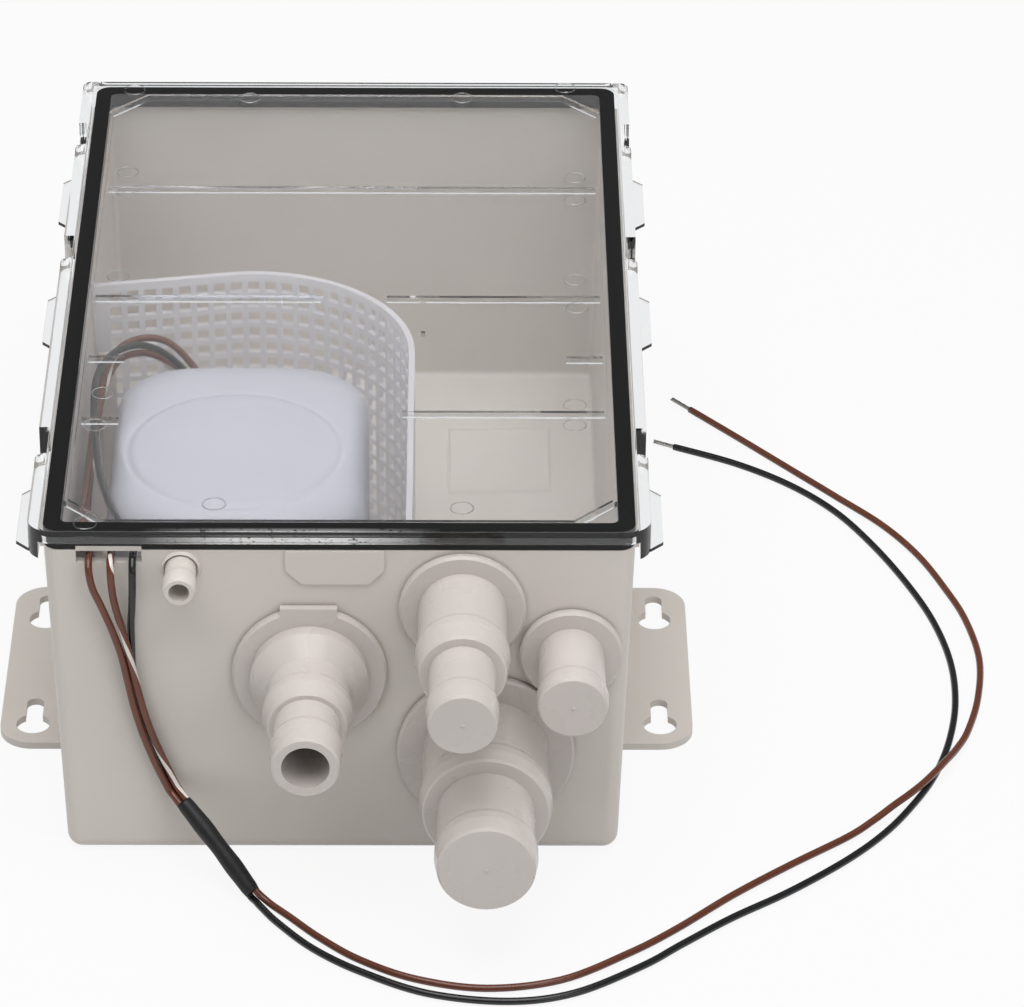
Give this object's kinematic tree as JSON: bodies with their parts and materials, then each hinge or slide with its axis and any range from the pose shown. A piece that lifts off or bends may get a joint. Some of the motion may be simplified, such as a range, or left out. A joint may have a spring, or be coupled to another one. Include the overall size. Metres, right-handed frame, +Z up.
{
  "type": "shower sump pump",
  "caption": "Beige collecting box with a clear snap lid, stepped hose inlets on its front, a curved mesh strainer, and a white float-switched pump with leads inside.",
  "frame": {"origin": "centre of the underside of the box, where it stands", "axes": "+X to the right as seen from the hose side, +Y to the back along the box, +Z up; the hose ends leave along -Y"},
  "size_m": [0.3314, 0.3853, 0.123],
  "materials": {
    "beige_plastic": "moulded, soft gloss",
    "clear_plastic": "clear moulded plastic",
    "mesh_plastic": "translucent white, satin",
    "white_plastic": "moulded, soft gloss",
    "dark_plastic": "moulded, matt",
    "blue_plastic": "moulded, matt",
    "cream_foam": "matt",
    "black_rubber": "matt",
    "brown_sleeving": "satin",
    "steel": "plated",
    "copper": "bare"
  },
  "bodies": {
    "sump": {"sump_box": "beige_plastic", "large_inlet": "beige_plastic", "large_inlet_washer": "black_rubber", "medium_inlet": "beige_plastic", "medium_inlet_washer": "black_rubber", "small_inlet": "beige_plastic", "small_inlet_washer": "black_rubber", "discharge_fitting": "beige_plastic", "discharge_washer": "black_rubber", "discharge_elbow": "beige_plastic", "flap_pin": "steel", "pump_base": "dark_plastic", "base_screws": "steel", "inlet_plate": "white_plastic", "pump_volute": "white_plastic", "pump_housing": "white_plastic", "motor_can": "steel", "motor_magnets": "dark_plastic", "motor_end_cap": "white_plastic", "motor_brushes": "dark_plastic", "lower_bush": "copper", "upper_bush": "copper", "shaft_seal": "black_rubber", "float_pin": "steel", "float_switch": "dark_plastic", "lead_grommet": "black_rubber", "outlet_hose": "dark_plastic", "hose_clamps": "steel", "brown_lead_inside": "brown_sleeving", "striped_lead_inside": "brown_sleeving", "black_lead_inside": "black_rubber", "brown_lead": "brown_sleeving", "striped_lead": "brown_sleeving", "black_lead": "black_rubber", "splice_sleeve": "black_rubber", "brown_supply_wire": "brown_sleeving", "black_supply_wire": "black_rubber", "brown_wire_end": "steel", "black_wire_end": "steel"},
    "lid": {"lid": "clear_plastic", "lid_gasket": "black_rubber"},
    "strainer": {"strainer_screen": "mesh_plastic"},
    "rotor": {"impeller": "blue_plastic", "motor_shaft": "steel", "motor_rotor": "copper"},
    "float": {"pump_float": "cream_foam"},
    "flap": {"check_flap": "black_rubber"}
  },
  "joints": [
    {"name": "lid_lift", "type": "slide", "parent": "sump", "child": "lid", "axis": [0, 0, 1], "range_m": [0, 0.2]},
    {"name": "strainer_lift", "type": "slide", "parent": "sump", "child": "strainer", "axis": [0, 0, 1], "range_m": [0, 0.12]},
    {"name": "impeller_spin", "type": "hinge", "parent": "sump", "child": "rotor", "pos_m": [-0.035, -0.066, 0.03], "axis": [0, 0, 1], "continuous": true},
    {"name": "float_tilt", "type": "hinge", "parent": "sump", "child": "float", "pos_m": [-0.063, -0.0119, 0.044], "axis": [0, -1, 0], "range_deg": [0, 28]},
    {"name": "flap_swing", "type": "hinge", "parent": "sump", "child": "flap", "pos_m": [-0.0098, -0.1501, 0.0802], "axis": [-1, 0, 0], "range_deg": [0, 40]}
  ],
  "couplings": [
    {"joint": "strainer_lift", "follows": "lid_lift", "ratio": 0.6}
  ]
}
